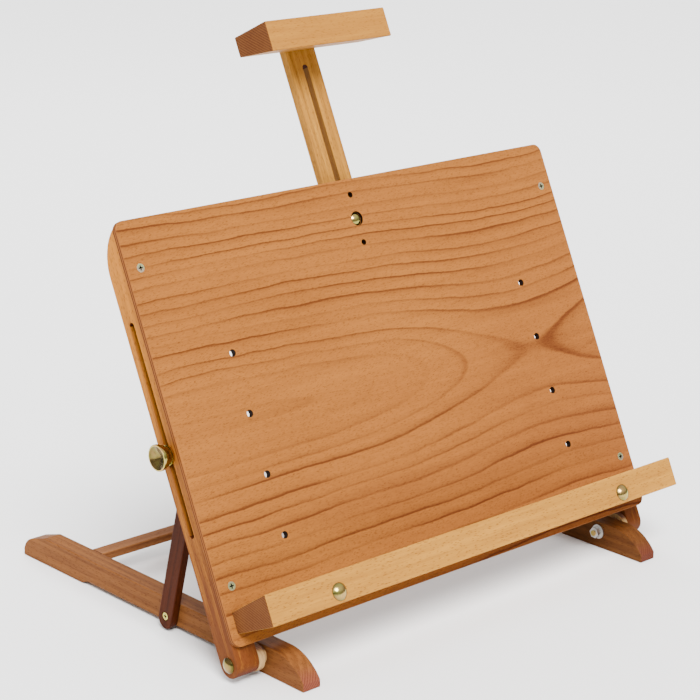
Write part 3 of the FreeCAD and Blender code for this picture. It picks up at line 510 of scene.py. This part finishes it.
def lathe(name, profile, place, axis, material, body, node):
    """A smooth turned piece in place of a CAD node.

    The profile's stations are (along, radius, darkness), in millimetres; darkness is 0 to 1, stain and painted
    shade together.
    """
    turn = Vector((0, 0, 1)).rotation_difference(axis).to_matrix()
    form = bmesh.new()
    # each vertex carries its darkness, stain and painted shade, for the brass to read
    stain = form.verts.layers.float.new("recess")
    rings = []
    for along, radius, dark in profile:
        if radius == 0:
            rings.append([form.verts.new(place + axis * along * 0.001)])
            rings[-1][0][stain] = dark
            continue
        ring = []
        for step in range(TURNS):
            angle = math.tau * step / TURNS
            spoke = Vector((math.cos(angle) * radius, math.sin(angle) * radius, along)) * 0.001
            ring.append(form.verts.new(place + turn @ spoke))
            ring[-1][stain] = dark
        rings.append(ring)
    for first, second in zip(rings, rings[1:]):
        if len(first) == len(second) == 1:
            continue
        for step in range(TURNS):
            after = (step + 1) % TURNS
            corners = [first[step % len(first)], first[after % len(first)],
                       second[after % len(second)], second[step % len(second)]]
            form.faces.new(list(dict.fromkeys(corners)))
    bmesh.ops.remove_doubles(form, verts=form.verts, dist=1e-6)
    bmesh.ops.recalc_face_normals(form, faces=form.faces)
    mesh = bpy.data.meshes.new(name)
    form.to_mesh(mesh)
    form.free()
    mesh.polygons.foreach_set("use_smooth", [True] * len(mesh.polygons))
    mesh.set_sharp_from_angle(angle=math.radians(28))
    mesh.materials.append(material)
    piece = bpy.data.objects.new(name, mesh)
    bpy.context.scene.collection.objects.link(piece)
    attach(piece, body)
    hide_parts(node)


def bolt_profile(reach, head, tall, stain=0.15):
    """A shank of the given reach and a domed head, with painted shade darker towards its rim."""
    rim = 0.6
    round_radius = ((tall - rim) ** 2 + head ** 2) / (2 * (tall - rim))
    widest = math.asin(head / round_radius)
    dome = [(tall - round_radius * (1 - math.cos(widest * step / 12)),
             round_radius * math.sin(widest * step / 12)) for step in range(12, 0, -1)]
    # painted shade: the dome darkens towards its rim and the head's side is dark, on top of the stain
    dome = [(along, radius, stain + 0.55 * (radius / head) ** 3) for along, radius in dome]
    return [(-reach, 0, 0), (-reach, SHANK, 0), (0, SHANK, 0), (0, head, 0.8),
            (rim * 0.98, head, 0.7), *dome[1:], (tall, 0, stain)]


def cross_screws(metal):
    """Node tree that sets a screw with a cross cut in its head on each point, along an axis, with painted shade in
    the cross.
    """
    tree = bpy.data.node_groups.new("cross_screws", "GeometryNodeTree")
    face = tree.interface
    face.new_socket("Geometry", in_out="OUTPUT", socket_type="NodeSocketGeometry")
    face.new_socket("Geometry", in_out="INPUT", socket_type="NodeSocketGeometry")
    for name in ("Head radius", "Head height", "Shank radius", "Length", "Recess", "Slit"):
        face.new_socket(name, in_out="INPUT", socket_type="NodeSocketFloat")
    face.new_socket("Axis", in_out="INPUT", socket_type="NodeSocketVector")
    given = tree.nodes.new("NodeGroupInput")

    def add(kind, settings=None, **inputs):
        node = tree.nodes.new(kind)
        for key, setting in (settings or {}).items():
            setattr(node, key, setting)
        for key, value in inputs.items():
            socket = node.inputs[key.replace("_", " ")]
            for one in value if isinstance(value, list) else [value]:
                if isinstance(one, bpy.types.NodeSocket):
                    tree.links.new(one, socket)
                else:
                    socket.default_value = one
        return node.outputs[0]

    def reckon(operation, first, second):
        node = tree.nodes.new("ShaderNodeMath")
        node.operation = operation
        for socket, value in zip(node.inputs, (first, second)):
            if isinstance(value, bpy.types.NodeSocket):
                tree.links.new(value, socket)
            else:
                socket.default_value = value
        return node.outputs[0]

    def moved(geometry, height):
        return add("GeometryNodeTransform", Geometry=geometry,
                   Translation=add("ShaderNodeCombineXYZ", Z=height))

    radius, tall, thin, length, deep, slit, axis = given.outputs[1:8]
    head = add("GeometryNodeMeshCone", Vertices=48, Radius_Top=radius, Radius_Bottom=thin,
               Depth=tall)
    head = moved(head, reckon("SUBTRACT", 0.0, tall))
    bars = []
    arm = reckon("MULTIPLY", radius, 1.15)
    for wide, long in ((arm, slit), (slit, arm)):
        cube = add("GeometryNodeMeshCube", Size=add(
            "ShaderNodeCombineXYZ", X=wide, Y=long, Z=reckon("MULTIPLY", deep, 2.0)))
        # painted shade: the walls of the cross are marked fully dark, near black in the brass
        bars.append(add("GeometryNodeStoreNamedAttribute", {"data_type": "FLOAT", "domain": "FACE"},
                        Geometry=cube, Name="recess", Value=1.0))
    head = add("GeometryNodeMeshBoolean", {"operation": "DIFFERENCE", "solver": "EXACT"},
               Mesh_1=head, Mesh_2=bars)
    shank = add("GeometryNodeMeshCylinder", Vertices=24, Radius=thin,
                Depth=reckon("SUBTRACT", length, tall))
    shank = moved(shank, reckon("MULTIPLY", reckon("ADD", length, tall), -0.5))
    screw = add("GeometryNodeJoinGeometry", Geometry=[shank, head])
    turn = add("FunctionNodeAlignRotationToVector", {"axis": "Z"}, Vector=axis)
    placed = add("GeometryNodeInstanceOnPoints", Points=given.outputs[0], Instance=screw,
                 Rotation=turn)
    whole = add("GeometryNodeRealizeInstances", Geometry=placed)
    whole = add("GeometryNodeSetMaterial", Geometry=whole, Material=metal)
    tree.links.new(whole, tree.nodes.new("NodeGroupOutput").inputs[0])
    return tree


def set_screws(name, tree, points, sizes, body, node):
    """Screws on the given points, as a plain mesh, in place of a CAD node."""
    mesh = bpy.data.meshes.new(name + "_points")
    mesh.from_pydata(points, [], [])
    source = bpy.data.objects.new(name + "_points", mesh)
    bpy.context.scene.collection.objects.link(source)
    modifier = source.modifiers.new("screws", "NODES")
    modifier.node_group = tree
    for item in tree.interface.items_tree:
        if item.in_out == "INPUT" and item.name in sizes:
            modifier[item.identifier] = sizes[item.name]
    depsgraph = bpy.context.evaluated_depsgraph_get()
    plain = bpy.data.meshes.new_from_object(source.evaluated_get(depsgraph))
    bpy.data.objects.remove(source)
    piece = bpy.data.objects.new(name, plain)
    bpy.context.scene.collection.objects.link(piece)
    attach(piece, body)
    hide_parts(node)


class EASEL_OT_metals(bpy.types.Operator):
    """Give every metal piece its brass or zinc"""
    bl_idname = "easel.metals"
    bl_label = "Metals"

    def execute(self, context):
        own = context.scene.easel_fittings
        brass = yellow_brass("brass", own.brass[:], own.brass_gloss)
        bright = yellow_brass("bright_brass", own.bright[:], 0.24, 0.05)
        steel = zinc_steel("zinc_steel", own.zinc[:])
        for entry in frame["record"]["subparts"]:
            if entry["material_slot"] == "brass":
                dress(brass, entry["node"])
            elif entry["material_slot"] == "zinc_steel":
                dress(steel, entry["node"])
        self.add_knobs(brass)
        self.add_bolts(brass)
        self.add_screws(bright, brass)
        return {"FINISHED"}

    def add_knobs(self, brass):
        seat = Vector((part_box("clamp_knob")[1][0], CLAMP.y, CLAMP.z))
        lathe("clamp_knob_turned", KNOB, seat, -ACROSS, brass, "clamp_knob", "clamp_knob")
        lathe("mast_knob_turned", KNOB, MAST_KNOB, -OFF_PANEL, brass, "mast_knob", "mast_knob")

    def add_bolts(self, brass):
        tall = PIVOT_HEAD[1]
        for side, axis in (("left", -ACROSS), ("right", ACROSS)):
            node = "pivot_bolt_" + side
            low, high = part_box(node)
            outer = low[0] if side == "left" else high[0]
            seat = Vector((outer, PIVOT.y, PIVOT.z)) - axis * tall * 0.001
            reach = (high[0] - low[0]) * 1000 - tall
            lathe(node + "_turned", bolt_profile(reach, *PIVOT_HEAD, 0.45), seat, axis, brass,
                  "base", node)
            node = "ledge_bolt_" + side
            nut = Vector(JOINTS[f"wing_nut_{side}_turn"]["pos_m"])
            lathe(node + "_turned", bolt_profile(LEDGE_REACH, *LEDGE_HEAD),
                  nut + OFF_PANEL * NUT_TO_LEDGE, OFF_PANEL, brass, "board", node)
        lathe("mast_bolt_turned", bolt_profile(MAST_REACH, *MAST_HEAD),
              MAST_KNOB + OFF_PANEL * KNOB_TO_BOLT, OFF_PANEL, brass, "board", "mast_bolt")

    def add_screws(self, bright, brass):
        tree = cross_screws(bright)
        sizes = {"Head radius": 0.0041, "Head height": 0.0022, "Shank radius": 0.002,
                 "Length": 0.0215, "Recess": 0.0017, "Slit": 0.0013, "Axis": OFF_PANEL[:]}
        points = [PIVOT + ACROSS * side + UP_PANEL * level + OFF_PANEL * PANEL_FRONT
                  for side in (-SCREW_SIDE, SCREW_SIDE) for level in SCREW_LEVELS]
        set_screws("panel_cross_screws", tree, points, sizes, "board", "panel_screws")
        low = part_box("strut_screw")[0]
        sizes.update({"Head radius": 0.0037, "Length": 0.021, "Axis": (-1.0, 0.0, 0.0)})
        foot = Vector((low[0], STRUT_FOOT.y, STRUT_FOOT.z))
        set_screws("strut_cross_screw", cross_screws(brass), [foot], sizes, "base", "strut_screw")


def area_light(name, place, aim, size, power):
    """A soft box that looks at a point."""
    lamp = bpy.data.lights.new(name, "AREA")
    lamp.shape = "SQUARE"
    lamp.size = size
    lamp.energy = power
    thing = bpy.data.objects.new(name, lamp)
    thing.location = place
    thing.rotation_euler = (Vector(aim) - Vector(place)).to_track_quat("-Z", "Y").to_euler()
    bpy.context.scene.collection.objects.link(thing)


class EASEL_OT_stage(bpy.types.Operator):
    """Set up the pale floor, the studio light and the camera"""
    bl_idname = "easel.stage"
    bl_label = "Stage"

    def execute(self, context):
        own = context.scene.easel_stage
        self.add_floor()
        self.add_light(own)
        self.add_camera(own)
        return {"FINISHED"}

    def add_floor(self):
        pale = Graph("studio_floor").shader({"Base Color": (0.93, 0.93, 0.93, 1), "Roughness": 0.6})
        mesh = bpy.data.meshes.new("studio_floor")
        form = bmesh.new()
        bmesh.ops.create_grid(form, x_segments=1, y_segments=1, size=12.0)
        form.to_mesh(mesh)
        form.free()
        floor = bpy.data.objects.new("studio_floor", mesh)
        floor.location.z = -FLOOR_DROP
        floor.data.materials.append(pale)
        bpy.context.scene.collection.objects.link(floor)

    def add_light(self, own):
        world = bpy.data.worlds.new("studio")
        world.use_nodes = True
        tree = world.node_tree
        backdrop = tree.nodes["Background"]
        height = tree.nodes.new("ShaderNodeSeparateXYZ")
        tree.links.new(tree.nodes.new("ShaderNodeTexCoord").outputs["Generated"], height.inputs[0])
        bright = tree.nodes.new("ShaderNodeMapRange")
        bright.interpolation_type = "SMOOTHSTEP"
        for key, number in (("From Min", 0.05), ("From Max", 0.75), ("To Min", own.horizon),
                            ("To Max", own.world)):
            bright.inputs[key].default_value = number
        tree.links.new(height.outputs["Z"], bright.inputs["Value"])
        tree.links.new(bright.outputs["Result"], backdrop.inputs["Strength"])
        backdrop.inputs["Color"].default_value = (1.0, 1.0, 1.0, 1.0)
        bpy.context.scene.world = world
        lamp = bpy.data.lights.new("key", "SUN")
        lamp.energy = own.light
        lamp.angle = own.softness
        key = bpy.data.objects.new("key", lamp)
        key.rotation_euler = Vector(own.shine).to_track_quat("-Z", "Y").to_euler()
        bpy.context.scene.collection.objects.link(key)
        aim = (0, 0, 0.25)
        area_light("side", (-2.5, -1.0, 1.6), aim, 1.4, 8)
        area_light("rim", (1.2, 2.2, 2.4), aim, 1.2, 40)

    def add_camera(self, own):
        lens = bpy.data.cameras.new("camera")
        lens.lens = own.lens
        lens.clip_end = 50
        camera = bpy.data.objects.new("camera", lens)
        turn, rise = own.azimuth, own.elevation
        view = Vector((-math.sin(turn) * math.cos(rise), math.cos(turn) * math.cos(rise),
                       -math.sin(rise)))
        right = Vector((math.cos(turn), math.sin(turn), 0))
        top = right.cross(view)
        rolled_right = right * math.cos(own.roll) + top * math.sin(own.roll)
        rolled_top = top * math.cos(own.roll) - right * math.sin(own.roll)
        basis = Matrix((rolled_right, rolled_top, -view)).transposed().to_4x4()
        camera.matrix_world = Matrix.Translation(Vector(own.aim) - view * own.distance) @ basis
        bpy.context.scene.collection.objects.link(camera)
        bpy.context.scene.camera = camera


OPERATORS = (EASEL_OT_woods, EASEL_OT_metals, EASEL_OT_stage)


class EASEL_PT_sidebar(bpy.types.Panel):
    """Steps and settings of the table easel"""
    bl_idname = "EASEL_PT_sidebar"
    bl_label = "Table easel"
    bl_space_type = "VIEW_3D"
    bl_region_type = "UI"
    bl_category = "Easel"

    def draw(self, context):
        column = self.layout.column(align=True)
        for step in OPERATORS:
            column.operator(step.bl_idname)
        for name, kind in SETTINGS.items():
            box = self.layout.box()
            for key in kind.__annotations__:
                box.prop(getattr(context.scene, name), key)


SETTINGS = {"easel_woods": EaselWoods, "easel_fittings": EaselFittings, "easel_stage": EaselStage}
CLASSES = (*SETTINGS.values(), *OPERATORS, EASEL_PT_sidebar)


def register():
    for each in CLASSES:
        bpy.utils.register_class(each)
    for name, kind in SETTINGS.items():
        setattr(bpy.types.Scene, name, PointerProperty(type=kind))


def unregister():
    for name in SETTINGS:
        delattr(bpy.types.Scene, name)
    for each in reversed(CLASSES):
        bpy.utils.unregister_class(each)


def main():
    register()
    bpy.ops.easel.woods()
    bpy.ops.easel.metals()
    bpy.ops.easel.stage()


if __name__ == "__main__":
    main()
